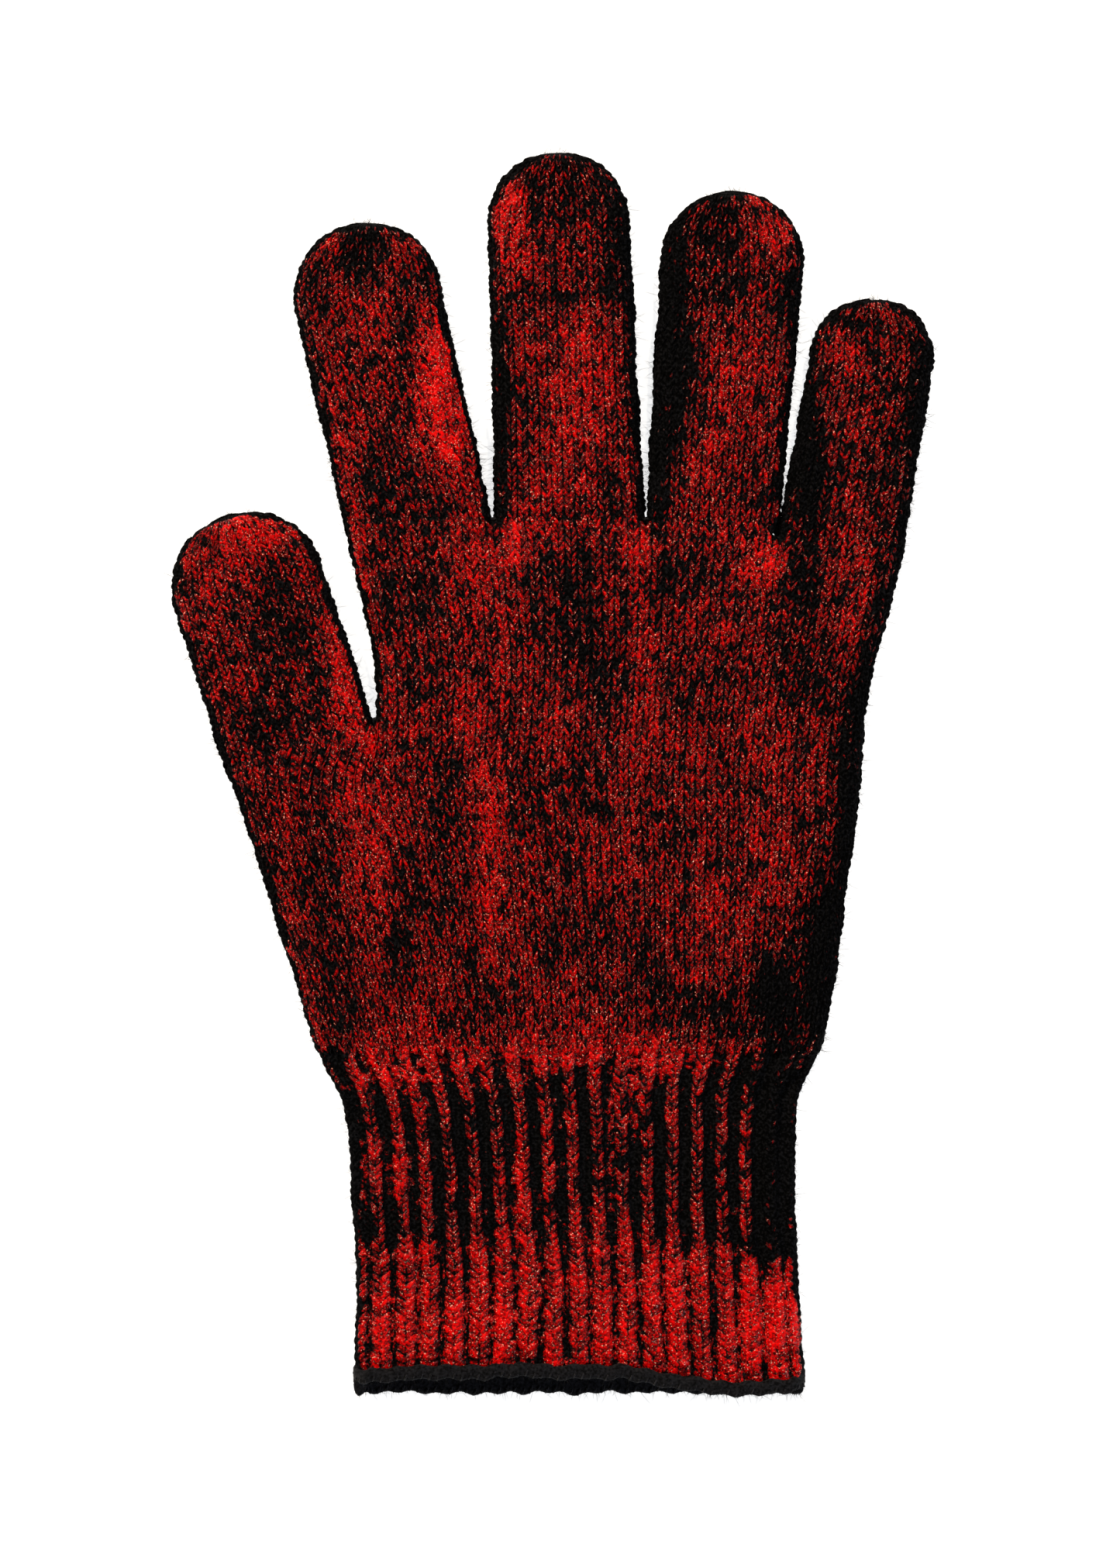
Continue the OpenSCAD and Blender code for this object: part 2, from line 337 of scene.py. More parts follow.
def pouch(x, y, side, room, own=None, tuck=0.0):
    # place across and along -> skin of a flat pouch: z = middle +- sqrt(r^2 - (r - d)^2), d from the outline
    d, towards = edgeDistance(x, y)
    if own is not None:
        closer = own[0] < d
        d = np.where(closer, own[0], d)
        towards = np.where(closer[..., None], own[1], towards)
    middle = gloveThick / 2
    r = middle - knit["floorGap"] - room - tuck
    slope = np.clip(1 - d / r, 0, 1)
    rise = np.sqrt(np.maximum(1 - slope**2, 0))
    soft = knit["slack"] * (0.5 + 0.5 * loft[0](x, y)) + 0.10 * loft[1](x, y)
    lift = r * rise - np.where(side > 0, soft * rise**2, 0)
    inset = (0.65 * room * slope)[..., None] * towards
    normal = np.stack([towards[..., 0] * slope, towards[..., 1] * slope, side * rise], -1)
    base = np.stack([x - inset[..., 0], y - inset[..., 1], middle + side * lift], -1)
    return base, normal, d


def zipLoops(long, short):
    # triangles between two rows of vertices with different counts
    n, m = len(long) - 1, len(short) - 1
    k = np.arange(n)
    step = (k * m) // n
    nextStep = ((k + 1) * m) // n
    faces = [np.stack([long[k], long[k + 1], short[step]], 1)]
    turn = nextStep > step
    faces.append(np.stack([long[k[turn] + 1], short[step[turn] + 1], short[step[turn]]], 1))
    return np.concatenate(faces)


def gridQuads(index):
    # the quads of a grid of vertex numbers
    a, b, c, d = index[:-1, :-1], index[:-1, 1:], index[1:, 1:], index[1:, :-1]
    return np.stack([a, b, c, d], -1).reshape(-1, 4)


def thinOut(count, keep):
    # which rows of a fine grid the lining keeps
    return np.unique(np.round(np.linspace(0, count - 1, keep)).astype(int))


def skinParts(outer, base, normal, fields, closed, flip=False, liningRows=12):
    # a knitted face on a fine grid, a plain lining behind it on a coarse one, and strips that close the edges
    rows, columns = outer.shape[:2]
    index = np.arange(rows * columns).reshape(rows, columns)
    keepRows = thinOut(rows, liningRows)
    keepColumns = np.arange(0, columns, 8) if closed else thinOut(columns, (columns + 6) // 8)
    lining = (base - normal * knit["layer"])[keepRows][:, keepColumns]
    inner = rows * columns + np.arange(lining.shape[0] * lining.shape[1]).reshape(lining.shape[:2])
    if closed:
        index = np.concatenate([index, index[:, :1]], 1)
        inner = np.concatenate([inner, inner[:, :1]], 1)
    quads = np.concatenate([gridQuads(index), gridQuads(inner)[:, ::-1]])
    strips = [zipLoops(index[-1], inner[-1]), zipLoops(index[0], inner[0])[:, ::-1]]
    if not closed:
        strips += [zipLoops(index[:, 0], inner[:, 0]), zipLoops(index[:, -1], inner[:, -1])[:, ::-1]]
    triangles = np.concatenate(strips)
    if flip:
        quads, triangles = quads[:, ::-1], triangles[:, ::-1]
    points = np.concatenate([outer.reshape(-1, 3), lining.reshape(-1, 3)])
    blank = len(points) - rows * columns
    full = {key: np.concatenate([values.ravel(), np.zeros(blank)]) for key, values in fields.items()}
    return dict(points=points, quads=quads, triangles=triangles, flat=np.ones(len(triangles), bool), **full)


def fibres(points, normals, count, seed, long=(0.5, 1.7), thick=0.032):
    # loose hairs: three-sided tapering prisms, each curved as p + direction t + bend t^2
    pick = np.random.default_rng(seed)
    chosen = pick.integers(0, len(points), count)
    p, n = points[chosen], normals[chosen]
    n = n + pick.normal(0, 0.55, n.shape)
    n /= np.linalg.norm(n, axis=1)[:, None]
    length = pick.uniform(*long, count)[:, None]
    bend = pick.normal(0, 0.5, n.shape)
    first = np.cross(n, [0.31, 0.17, 0.93])
    first /= np.linalg.norm(first, axis=1)[:, None]
    second = np.cross(n, first)
    rings = []
    for t in (0, 0.4, 0.75):
        centre = p + length * (n * t + bend * t * t)
        for turn in (0, 2 * np.pi / 3, 4 * np.pi / 3):
            rings.append(centre + thick * (1 - 0.6 * t) * (np.cos(turn) * first + np.sin(turn) * second))
    rings.append(p + length * (n + bend))
    body = np.stack(rings, 1)
    start = (np.arange(count) * 10)[:, None]
    quad = np.array([[0, 1, 4, 3], [1, 2, 5, 4], [2, 0, 3, 5], [3, 4, 7, 6], [4, 5, 8, 7], [5, 3, 6, 8]])
    tri = np.array([[6, 7, 9], [7, 8, 9], [8, 6, 9], [0, 2, 1]])
    quads = (start[:, :, None] + quad[None]).reshape(-1, 4)
    triangles = (start[:, :, None] + tri[None]).reshape(-1, 3)
    z = body[..., 2]
    body[..., 2] = np.clip(z, 0.05, gloveThick + 1.2)
    total = count * 10
    return dict(points=body.reshape(-1, 3), quads=quads, triangles=triangles,
                flat=np.zeros(len(triangles), bool), height=np.zeros(total), cover=np.full(total, -1.0))


def yarnTube(path, reference, thick, sides=6, loop=False):
    # a round yarn along a line of points; the reference is a direction that the line never takes
    along = np.gradient(path, axis=0)
    if loop:
        along = (np.roll(path, -1, 0) - np.roll(path, 1, 0)) / 2
    along /= np.linalg.norm(along, axis=1)[:, None]
    first = np.cross(along, reference)
    first /= np.linalg.norm(first, axis=1)[:, None]
    second = np.cross(along, first)
    turn = np.arange(sides) * 2 * np.pi / sides
    points = path[:, None] + thick * (np.cos(turn)[None, :, None] * first[:, None]
                                      + np.sin(turn)[None, :, None] * second[:, None])
    index = np.arange(points.shape[0] * sides).reshape(-1, sides)
    index = np.concatenate([index, index[:, :1]], 1)
    if loop:
        index = np.concatenate([index, index[:1]], 0)
        triangles = np.zeros((0, 3), int)
    else:
        k = np.arange(1, sides - 1)
        last = index[-1, 0]
        triangles = np.concatenate([np.stack([0 * k, k + 1, k], 1),
                                    np.stack([last + 0 * k, last + k, last + k + 1], 1)])
    total = points.shape[0] * sides
    return dict(points=points.reshape(-1, 3), quads=gridQuads(index), triangles=triangles,
                flat=np.ones(len(triangles), bool), height=np.zeros(total), cover=np.zeros(total))


def joinParts(parts):
    # several closed parts -> one set of arrays
    offset = 0
    joined = {key: [] for key in parts[0]}
    for part in parts:
        for key, values in part.items():
            joined[key].append(values + offset if key in ("quads", "triangles") else values)
        offset += len(part["points"])
    return {key: np.concatenate(values) for key, values in joined.items()}


def makePiece(name, parts, material):
    # one mesh from whole arrays; the rest place of every point is kept for the pattern of the paint
    part = joinParts(parts)
    quads, triangles = part["quads"], part["triangles"]
    mesh = bpy.data.meshes.new(name)
    corners = np.concatenate([quads.ravel(), triangles.ravel()]).astype(np.int32)
    starts = np.concatenate([np.arange(len(quads)) * 4, len(quads) * 4 + np.arange(len(triangles)) * 3])
    mesh.vertices.add(len(part["points"]))
    mesh.vertices.foreach_set("co", (part["points"] * mm).astype(np.float32).ravel())
    mesh.loops.add(len(corners))
    mesh.loops.foreach_set("vertex_index", corners)
    mesh.polygons.add(len(starts))
    mesh.polygons.foreach_set("loop_start", starts.astype(np.int32))
    mesh.polygons.foreach_set("use_smooth", np.concatenate([np.ones(len(quads), bool), ~part["flat"]]))
    mesh.update(calc_edges=True)
    for key in ("height", "cover"):
        mesh.attributes.new(key, "FLOAT", "POINT").data.foreach_set("value", part[key].astype(np.float32))
    places = mesh.attributes.new("restPlace", "FLOAT_VECTOR", "POINT")
    places.data.foreach_set("vector", part["points"].astype(np.float32).ravel())
    mesh.materials.append(material)
    piece = bpy.data.objects.new(name, mesh)
    bpy.context.scene.collection.objects.link(piece)
    return piece


def linear(colour):
    # an sRGB hex colour -> linear values, ((c + 0.055) / 1.055)^2.4
    c = np.array([int(colour[i:i + 2], 16) for i in (1, 3, 5)]) / 255
    return tuple(np.where(c <= 0.04045, c / 12.92, ((c + 0.055) / 1.055) ** 2.4)) + (1.0,)


def addNode(tree, kind, inputs=None, out=0, **settings):
    # one node with its settings; an input is a plain value or another node's output; gives one of its outputs
    node = tree.nodes.new("ShaderNode" + kind)
    for key, value in settings.items():
        setattr(node, key, value)
    for key, value in (inputs or {}).items():
        if isinstance(value, bpy.types.NodeSocket):
            tree.links.new(value, node.inputs[key])
        else:
            node.inputs[key].default_value = value
    return node.outputs[out]


def newMaterial(name):
    # a material with its node tree and its shader
    material = bpy.data.materials.new(name)
    material.use_nodes = True
    return material, material.node_tree, material.node_tree.nodes["Principled BSDF"]


def paintedYarn(name, look):
    # acrylic yarn with a glossy film of paint on its high places: the film lies where
    # height + cover + grain is above 1, so that more cover reaches deeper into the knit
    material, tree, shader = newMaterial(name)
    rest = addNode(tree, "Attribute", out="Vector", attribute_name="restPlace")
    height = addNode(tree, "Attribute", out="Fac", attribute_name="height")
    cover = addNode(tree, "Attribute", out="Fac", attribute_name="cover")
    coarse, fine, middle, paintedGlintSpots = [addNode(tree, "TexNoise", {"Vector": rest, "Scale": 1 / size, "Detail": 2.0})
                                   for size in look["grainSizes"]]
    reach = addNode(tree, "Math", {0: height, 1: cover}, operation="ADD")
    wet = addNode(tree, "Math", {0: reach, 1: 1 + look["deepest"]}, operation="MINIMUM")
    for value, weight in ((coarse, look["grain"][0]), (fine, look["grain"][1])):
        wet = addNode(tree, "Math", {0: value, 1: weight, 2: wet}, operation="MULTIPLY_ADD")
    edge = 1 + sum(look["grain"]) / 2
    low, high = edge - look["softness"], edge + look["softness"]
    film = addNode(tree, "MapRange", {"Value": wet, "From Min": low, "From Max": high})
    # thickness of the film: cover 0.9 + height 0.5 + fine 2.2 + middle 1.6, from thin to full
    thick = 0.0
    for value, weight in zip((cover, height, fine, middle), look["thickOf"]):
        thick = addNode(tree, "Math", {0: value, 1: weight, 2: thick}, operation="MULTIPLY_ADD")
    thick = addNode(tree, "MapRange", {"Value": thick, "From Min": look["thin"], "From Max": look["full"]})
    soaked = addNode(tree, "MapRange", {"Value": middle, "From Min": 0.3, "From Max": 0.65})
    soaked = addNode(tree, "Mix", {0: soaked, 6: linear(look["deepRed"]), 7: linear(look["red"])}, 2, data_type="RGBA")
    red = addNode(tree, "Mix", {0: thick, 6: soaked, 7: linear(look["brightRed"])}, 2, data_type="RGBA")
    # painted glints: the red turns pale orange-white where the finest noise peaks, standing in for light caught by the
    # wet paint
    paintedGlint = addNode(tree, "MapRange", {"Value": paintedGlintSpots, "From Min": look["paintedGlintFrom"], "From Max": look["paintedGlintTo"]})
    red = addNode(tree, "Mix", {0: paintedGlint, 6: red, 7: linear(look["paintedGlint"])}, 2, data_type="RGBA")
    shade = addNode(tree, "MapRange", {"Value": middle, "From Min": 0.45, "From Max": 0.8})
    yarn = addNode(tree, "Mix", {0: shade, 6: linear(look["yarnDark"]), 7: linear(look["yarn"])}, 2, data_type="RGBA")
    colour = addNode(tree, "Mix", {0: film, 6: yarn, 7: red}, 2, data_type="RGBA")
    rough = addNode(tree, "MapRange", {"Value": film, "To Min": look["yarnRoughness"], "To Max": look["filmRoughness"]})
    bump = addNode(tree, "Bump", {"Height": middle, "Strength": look["bump"], "Distance": look["bumpDepth"] * mm})
    coat = addNode(tree, "MapRange", {"Value": film, "To Max": look["coat"]})
    tree.links.new(colour, shader.inputs["Base Color"])
    tree.links.new(rough, shader.inputs["Roughness"])
    tree.links.new(bump, shader.inputs["Normal"])
    tree.links.new(coat, shader.inputs["Coat Weight"])
    tree.links.new(bump, shader.inputs["Coat Normal"])
    shader.inputs["Coat Roughness"].default_value = look["paintRoughness"]
    shader.inputs["Coat Tint"].default_value = linear(look["glint"])
    shader.inputs["Specular IOR Level"].default_value = look["specular"]
    return material


def plainYarn(name, look):
    # unpainted yarn: two tones, streaked by a fine noise, rough, with the soft sheen of loose fibres
    material, tree, shader = newMaterial(name)
    rest = addNode(tree, "Attribute", out="Vector", attribute_name="restPlace")
    grain = addNode(tree, "TexNoise", {"Vector": rest, "Scale": 1 / look["grainSize"], "Detail": 3.0})
    tone = addNode(tree, "MapRange", {"Value": grain, "From Min": 0.35, "From Max": 0.65})
    colour = addNode(tree, "Mix", {0: tone, 6: linear(look["dark"]), 7: linear(look["light"])}, 2, data_type="RGBA")
    bump = addNode(tree, "Bump", {"Height": grain, "Strength": 0.6, "Distance": 0.15 * mm})
    tree.links.new(colour, shader.inputs["Base Color"])
    tree.links.new(bump, shader.inputs["Normal"])
    shader.inputs["Roughness"].default_value = look["roughness"]
    shader.inputs["Specular IOR Level"].default_value = 0.08
    shader.inputs["Sheen Weight"].default_value = look["sheen"]
    return material


# paint on black acrylic: wet red gloss whose coat catches real glints, with painted glints besides: pale
# specks mixed into the red where the finest noise peaks; brown-red where it has soaked in, and dull black yarn between;
# grain sizes are in millimetres
knitLook = dict(
    grainSizes=(1.2, 0.38, 0.5, 0.33), grain=(1.1, 0.9), softness=0.12, deepest=0.3,
    thickOf=(0.9, 0.5, 2.2, 1.6), thin=2.76, full=3.7, deepRed="#160101", red="#760001", brightRed="#f40202",
    paintedGlintFrom=0.65, paintedGlintTo=0.69, paintedGlint="#ffb09a", yarn="#1a1a1d", yarnDark="#000000", yarnRoughness=0.85,
    filmRoughness=0.5, bump=0.7, bumpDepth=0.3, specular=0.04, paintRoughness=0.1,
    coat=0.2, glint="#fff4e4",
)
paintedKnit = paintedYarn("red gloss paint on black knit", knitLook)
# the same on the rib, where the ridges took the paint more evenly
paintedRib = paintedYarn("red gloss paint on black rib", dict(knitLook, grain=(0.6, 0.7)))
# the hem, elastic and closing yarns: soft near-black that shows its stitches by light and shade only
blackYarn = plainYarn("black acrylic yarn", dict(
    dark="#010102", light="#1d1d21", grainSize=0.5, roughness=0.92, sheen=0.05))
# the whipped thread: the same yarn washed out and rubbed, a tone lighter
greyFuzz = plainYarn("washed out black yarn", dict(
    dark="#08080b", light="#24242a", grainSize=0.4, roughness=0.95, sheen=0.15))
print("materials made")


# where the roller pressed: place across and along, reach across and along, how much more or less paint
paintPatches = [
    (-59, 41, 6, 8, 0.25), (-38, 27, 3, 14, 0.45), (-47, 20, 6, 12, -0.2), (-53, 3, 6, 8, -0.25),
    (-52, 45, 7, 4, 0.15), (-19.5, 68, 4.6, 14, 0.6), (-33.5, 94, 3.6, 5.5, -0.6), (-36, 70, 5, 16, 0.12),
    (-25, 50, 8, 6, -0.2), (-7, 99, 2.6, 8, 0.28), (3, 107, 7, 6, -0.35), (4, 70, 8, 12, 0.35),
    (-10, 62, 2.4, 16, -0.8), (12.5, 96, 2.4, 10, -0.5), (20, 78, 4, 20, -1.0), (18, 55, 2.5, 9, -0.8),
    (44.5, 86, 3, 6, -0.6), (3, 86, 12, 1.1, -0.35), (32, 100, 7, 5, -0.25), (40, 97.5, 3, 3, 0.4),
    (34, 70, 6.5, 13, 0.2), (28, 92, 5, 7, -0.2), (46, 57, 2.2, 13, -0.8), (68, 62, 3.4, 17, -0.9),
    (60, 58, 4, 14, -0.1), (57, 80, 6, 4, -0.1), (52.5, 75, 2.6, 4, 0.35), (-8, 42, 4.5, 3.5, 0.35),
    (15.8, 42, 3.5, 3.5, 0.38), (38.7, 38.5, 3.2, 4, 0.35), (-7.2, 20, 2.4, 24, 0.2), (16.5, 15, 2.4, 26, 0.2),
    (2.6, 27, 5, 9, -0.25), (1.2, -26, 7, 8, -0.15), (-25, 38, 6, 8, -0.1), (-12.7, -1.3, 4, 5, 0.25),
    (-12, -18, 5, 12, 0.25), (-33, -12, 3, 22, 0.18), (51, -34, 5, 16, -1.0), (40, -37, 4, 5, -0.5),
    (55, -6, 3, 20, -0.8), (64.5, 42, 2.8, 8, -0.9), (61, 28, 3, 8, -0.9), (57.5, 13, 3, 9, -0.9),
    (-40, -30, 5, 14, -0.15), (45, 34, 2.4, 4, -0.35), (0, 36.5, 5, 3.5, -0.2), (22, 34, 5, 3, -0.15),
    (-14, 10, 3, 9, 0.2), (38, 3, 7, 10, 0.15), (36, -42, 16, 4, -0.35), (8, -50, 22, 3, 0.2),
    (-24, -53, 12, 4, 0.15), (40.5, -62, 4, 17, -0.9), (40, -97, 5, 7, 0.3), (-28, -65, 9, 18, 0.15),
    (38, -84, 6, 2.5, -0.5), (10.6, -66, 1.1, 10, 0.5), (14.8, -57, 1.1, 9, 0.5), (-6, -72, 1.1, 9, 0.4),
    (4, -88, 4, 2, -0.3),
]
paintSet = dict(knit=0.48, rib=0.56, band=0.32, bandTop=-83.0, rim=(0.3, 1.3), streaks=0.16, clouds=0.13, chance=0.22,
                crust=0.14)
streaks, clouds, rimWaver = lattice(128, 3.4, 21), lattice(64, 9.0, 22), lattice(128, 4.0, 23)


def paintCover(base, d, normal, chance, own):
    # cover = level + streaks along the knit + patches, cut off in the rim and on whatever faces down
    x, y = base[..., 0], base[..., 1]
    cover = own + paintSet["streaks"] * streaks(x, y / 5) + paintSet["clouds"] * clouds(x, y)
    cover = cover + paintSet["chance"] * chance + paintSet["crust"] * (crust[0](x, y) + crust[1](x, y))
    for cx, cy, rx, ry, amount in paintPatches:
        reach = ((x - cx) / rx) ** 2 + ((y - cy) / ry) ** 2
        cover = cover + amount * np.exp(-reach**2 / 2)
    low, high = paintSet["rim"]
    rim = smooth(low, high, d + 0.7 * rimWaver(x, y))
    cover = cover * rim - 1.2 * (1 - rim)
    return np.where(normal[..., 2] > 0.25, cover, -1.0)


def crusted(height, cover, x, y):
    # thick paint fills the gaps of the knit and dries in lumps: height + (fill - height) share, share from the cover
    share = smooth(0.8, 1.25, cover)
    lumps = 0.5 + 0.22 * crust[0](x, y) + 0.25 * crust[1](x, y)
    return height + (0.25 + lumps - height) * 0.75 * share


def knitFace(x, y, u, v, side, room, relief, own=None, tuck=0.0, seed=31):
    # a face of plain knit from its grid: skin, lining, heights and paint
    chance = stitchChance(u, v, seed)
    t = v - np.floor(v)
    y = y + 0.16 * stitchChance(u, v, seed + 500) * np.sin(np.pi * t)
    sx, sy = layLoose(x, y)
    base, normal, d = pouch(sx, sy, side, room, own, tuck)
    height = stitchHeight(u, v) * (1 + 0.33 * chance) + 0.2 * crust[1](sx, sy)
    cover = paintCover(base, d, normal, chance, paintSet["knit"])
    height = np.clip(crusted(height, cover, sx, sy), 0, 1.15)
    outer = base + normal * (relief * height)[..., None]
    return outer, base, normal, dict(height=height, cover=cover), d


def rimFibres(outer, normal, d, count, seed):
    # hairs stand thickest along the sides
    points, normals = outer.reshape(-1, 3), normal.reshape(-1, 3)
    flatD = d.ravel()
    near = flatD < 1.2
    parts = [fibres(points[near], normals[near], count, seed)]
    parts.append(fibres(points, normals, count // 3, seed + 1, long=(0.3, 0.9)))
    return parts


# the hand: 59 columns of stitches on each face, of which 13 go to the thumb
handSet = dict(wales=59, thumbWales=13, lowRows=43, allRows=69, split=20, spreadFrom=33, slantFrom=22, clear=0.2)
lowCourse = (thumbNotch[1] - wristY) / (handSet["lowRows"] + knit["rise"])
palmFoot = wristY + lowCourse * handSet["lowRows"] - handSet["clear"]
highRows = handSet["allRows"] - handSet["lowRows"]


def knuckleLine(x):
    # the line of the finger bases: level, then lower at the little finger
    return knuckleY - (knuckleY - littleKnuckleY) * smooth(37.5, 43, x)


def handGrid(first, last):
    # rows of courses from the wrist to the thumb's notch, with the thumb's columns slanting with the thumb
    u, v = np.meshgrid(plainColumns(handSet["wales"]), courseRows(first, last))
    a = legPlace(u)
    own = handSet["thumbWales"]
    share = v / handSet["lowRows"]
    topX = np.where(u < own, thumbNotch[0] - 27.3 * (1 - u / own), thumbNotch[0])
    slant = (topX - thumbNotch[0]) * np.tan(thumbTilt) * smooth(handSet["slantFrom"], handSet["lowRows"], v)
    y = wristY + share * (palmFoot - wristY) + slant + lowCourse * knit["rise"] * a
    left, right = throughPoints(handLeft, y), throughPoints(handRight, y)
    even = arcSpread(u / handSet["wales"], left, right)
    notch = np.full_like(left, thumbNotch[0])
    parted = np.where(u < own, arcSpread(u / own, left, notch),
                      arcSpread((u - own) / (handSet["wales"] - own), notch, right))
    x = even + (parted - even) * smooth(handSet["spreadFrom"], handSet["lowRows"], v)
    return x, y, u, v


def palmGrid(first, last):
    # rows of courses from the thumb's notch to the finger bases
    own = handSet["thumbWales"]
    u, v = np.meshgrid(plainColumns(handSet["wales"] - own, own), courseRows(first, last))
    share = (v - handSet["lowRows"]) / highRows
    roughX = -31.5 + (u - own) / (handSet["wales"] - own) * 95.0
    highCourse = (knuckleY - palmFoot) / (highRows + knit["rise"])
    top = knuckleLine(roughX + 1.5) - handSet["clear"] - highCourse * knit["rise"]
    course = lowCourse + (highCourse - lowCourse) * share
    y = palmFoot + share * (top - palmFoot) + course * knit["rise"] * legPlace(u)
    left, right = throughPoints(palmLeft, y), throughPoints(handRight, y)
    x = arcSpread((u - own) / (handSet["wales"] - own), left, right)
    return x, y, u, v


handPieces = []
for side, face in ((1, "front"), (-1, "back")):
    for label, grid, first, last in (("heel", handGrid, 0, handSet["split"]),
                                     ("thumb_root", handGrid, handSet["split"], handSet["lowRows"]),
                                     ("palm", palmGrid, handSet["lowRows"], handSet["allRows"])):
        x, y, u, v = grid(first, last)
        outer, base, normal, fields, d = knitFace(x, y, u, v, side, knit["relief"], knit["relief"])
        parts = [skinParts(outer, base, normal, fields, False, flip=side < 0)]
        parts += rimFibres(outer, normal, d, 160, len(handPieces) * 5 + 50)
        piece = makePiece("hand_" + label + "_" + face, parts, paintedKnit)
        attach(piece, "hand")
        handPieces.append(piece)
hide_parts("hand_tube")
print("hand knitted:", len(handPieces), "pieces")


def tubeGrid(wales, first, last):
    # columns round a flat tube: the upper face from left to right, then the lower face back
    u = (np.arange(2 * wales)[:, None] + strips[None, :]).ravel()
    u, v = np.meshgrid(u, courseRows(first, last))
    share = np.where(u <= wales, u / wales, 2 - u / wales)
    return u, v, share, np.where(u <= wales, 1.0, -1.0)


def tipRow(y, top, course):
    # the last two courses draw up: what is left to the tip shrinks as left^1.5
    left = np.maximum(top - y, 0)
    near = 2 * course
    return top - np.maximum(np.where(left < near, left**1.5 / near**0.5, left), 0.004)


def knitTube(label, wales, course, foot, top, y0, y1, half, across, toPlace, knuckle, seed):
    # a length of finger between two heights: half(y) wide about across(y), turned by toPlace
    total = int(round((top - foot) / course))
    course = (top - foot) / total
    first, last = int(round((y0 - foot) / course)), int(round((y1 - foot) / course))
    u, v, share, side = tubeGrid(wales, first, last)
    ends = smooth(total, total - 4, v)
    yRow = foot + course * (v + knit["rise"] * ends * (legPlace(u)))
    y = tipRow(np.minimum(yRow, top), top, course)
    w, m = half(y), across(y)
    x = arcSpread(share, m - w, m + w)
    fromSide = np.maximum(w - np.abs(x - m), 0)
    sideways = np.sign(x - m)
    px, py = toPlace(x, y)
    ax, ay = toPlace(x + sideways, y)
    own = (fromSide, np.stack([ax - px, ay - py], -1))
    fade = smooth(0.12, 0.6, w / half(np.array(foot + 6.0)))
    tuck = 0.4 * (1 - smooth(knuckle - 0.5, knuckle + 2.5, y))
    outer, base, normal, fields, d = knitFace(px, py, u, v, side, knit["relief"], knit["relief"] * fade,
                                              own, tuck, seed)
    parts = [skinParts(outer, base, normal, fields, True, liningRows=9)]
    shown = y > knuckle + 1
    parts += rimFibres(outer[shown], normal[shown], d[shown], 240, seed * 3)
    return makePiece(label, parts, paintedKnit)


def asItIs(x, y):
    # fingers are laid out where they are, without turning
    return x, y


fingerPieces = []
for number, (name, shape) in enumerate(fingerShapes.items()):
    baseJoint, endJoint, top = fingerFrame(name)
    midJoint = joints[name + "_middle_joint"]
    foot = baseJoint[1] - 3.6
    cuts = [foot, (baseJoint[1] + midJoint[1]) / 2, (midJoint[1] + endJoint[1]) / 2, top]
    bodies = ["hand", name + "_proximal", name + "_middle", name + "_end"]
    for k in range(3):
        piece = knitTube(bodies[k + 1] + "_knit", shape["wales"], shape["course"], foot, top, cuts[k], cuts[k + 1],
                         lambda y: fingerHalf(name, y), lambda y: fingerMiddle(name, y), asItIs, baseJoint[1],
                         60 + number * 4 + k)
        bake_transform(piece)
        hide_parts(bodies[k + 1])
        fingerPieces.append(piece)
print("fingers knitted:", len(fingerPieces), "pieces")

thumbJoint = joints["thumb_joint"]
c, s = np.cos(thumbTilt), np.sin(thumbTilt)
thumbBend = c * (thumbJoint[1] - thumbNotch[1]) - s * (thumbJoint[0] - thumbNotch[0])
thumbCuts = [-3.6, thumbBend / 2, thumbShape["tipRise"]]
thumbHinges, thumbBodies = [0.0, thumbBend], ["hand", "thumb_base", "thumb_end"]
for k in range(2):
    piece = knitTube(thumbBodies[k + 1] + "_knit", thumbShape["wales"], thumbShape["course"], thumbCuts[0],
                     thumbShape["tipRise"], thumbCuts[k], thumbCuts[k + 1], thumbHalf,
                     lambda y: thumbShape["middle"] + 0 * y, fromThumb, 0.0, 90 + k)
    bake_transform(piece)
    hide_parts(thumbBodies[k + 1])
print("thumb knitted, bends at", thumbBend)


# the cuff: ribs of one plain column, with a sunken purl column between them
cuffSet = dict(ribs=19, top=wristY + 4.4, foot=-106.4, course=1.4, lift=0.9, relief=0.45, duty=0.58, bandDuty=0.8,
               ribStrips=8, gapStrips=6, bandTop=-83.0)


def mouthDrop(share):
    # the front edge of the mouth isn't level: it hangs lower at both sides, most at the right
    return -1.0 * (1 - smooth(0.0, 0.3, share)) - 2.9 * smooth(0.55, 0.85, share) + 1.0 * smooth(0.94, 1.0, share)


def cuffHeights(within, inRib, v, y, start):
    # rib: a rounded ridge 1 - (2w - 1)^2 carrying legs of a V; gap: small bars of purl across it
    gapDepth = smooth(start, start - 4, y)
    a = np.abs(2 * within - 1)
    ridge = 1 - a * a
    t = v - np.floor(v)
    leg = np.interp(a, [0, 0.2, 0.5, 0.8, 1], [0.35, 0.85, 1, 0.8, 0.1]) * (0.25 + 0.75 * np.sin(np.pi * t) ** 0.7)
    bar = np.sin(np.pi * within) * np.sin(np.pi * ((v + 0.5) - np.floor(v + 0.5)))
    onRib = cuffSet["lift"] * (1 - gapDepth * 0.6 * (1 - ridge)) + cuffSet["relief"] * leg
    sunk = gapDepth * (0.6 + 0.4 * np.sin(np.pi * within) ** 0.5)
    inGap = cuffSet["lift"] * (1 - sunk) + 0.3 * cuffSet["relief"] * bar
    reached = np.where(inRib, leg * (1 - gapDepth * 0.55 * (1 - ridge)), (1 - gapDepth) * 0.8 * bar)
    return np.where(inRib, onRib, inGap), reached


